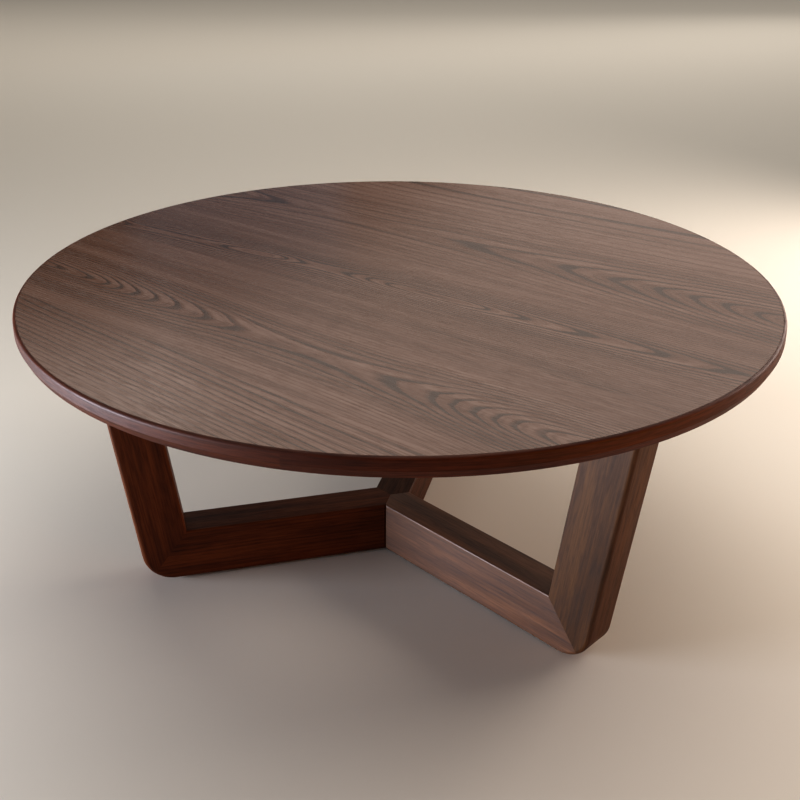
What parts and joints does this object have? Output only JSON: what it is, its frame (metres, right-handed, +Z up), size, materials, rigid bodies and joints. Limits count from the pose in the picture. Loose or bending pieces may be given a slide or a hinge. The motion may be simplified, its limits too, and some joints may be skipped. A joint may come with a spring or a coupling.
{
  "type": "round low table",
  "caption": "Round low table for sitting at on the floor: a veneered top with a bevelled edge on splayed L-shaped leg frames that meet in a mitred hub.",
  "frame": {"origin": "on the floor, under the middle of the round top", "axes": "+Z up out of the floor, -Y towards the sitter that the picture is taken from, +X to that sitter's right; the back leg points 75.7 degrees round from +X and the other two follow at 120 degrees"},
  "size_m": [0.9, 0.9, 0.38],
  "materials": {
    "face_veneer": "figured walnut veneer in five leaves, stained grey-brown, satin lacquer",
    "edge_lipping": "solid walnut edge, dark stain, satin lacquer",
    "leg_wood": "solid walnut, dark stain, satin lacquer",
    "core_board": "plain wood-fibre board, hidden",
    "backing_veneer": "plain straight-grained veneer, thin matt lacquer",
    "tenon_wood": "plain beech, hidden",
    "felt": "pressed wool felt"
  },
  "bodies": {
    "root": {"top_core": "core_board", "backing_veneer": "backing_veneer", "face_veneer_leaf_1": "face_veneer", "face_veneer_leaf_2": "face_veneer", "face_veneer_leaf_3": "face_veneer", "face_veneer_leaf_4": "face_veneer", "face_veneer_leaf_5": "face_veneer", "edge_lipping_1": "edge_lipping", "edge_lipping_2": "edge_lipping", "edge_lipping_3": "edge_lipping", "edge_lipping_4": "edge_lipping", "edge_lipping_5": "edge_lipping", "edge_lipping_6": "edge_lipping", "upright_back": "leg_wood", "floor_rail_back": "leg_wood", "corner_tenons_back": "tenon_wood", "head_tenons_back": "tenon_wood", "hub_tenon_back": "tenon_wood", "foot_pad_back": "felt", "upright_left": "leg_wood", "floor_rail_left": "leg_wood", "corner_tenons_left": "tenon_wood", "head_tenons_left": "tenon_wood", "hub_tenon_left": "tenon_wood", "foot_pad_left": "felt", "upright_right": "leg_wood", "floor_rail_right": "leg_wood", "corner_tenons_right": "tenon_wood", "head_tenons_right": "tenon_wood", "hub_tenon_right": "tenon_wood", "foot_pad_right": "felt"}
  },
  "joints": []
}
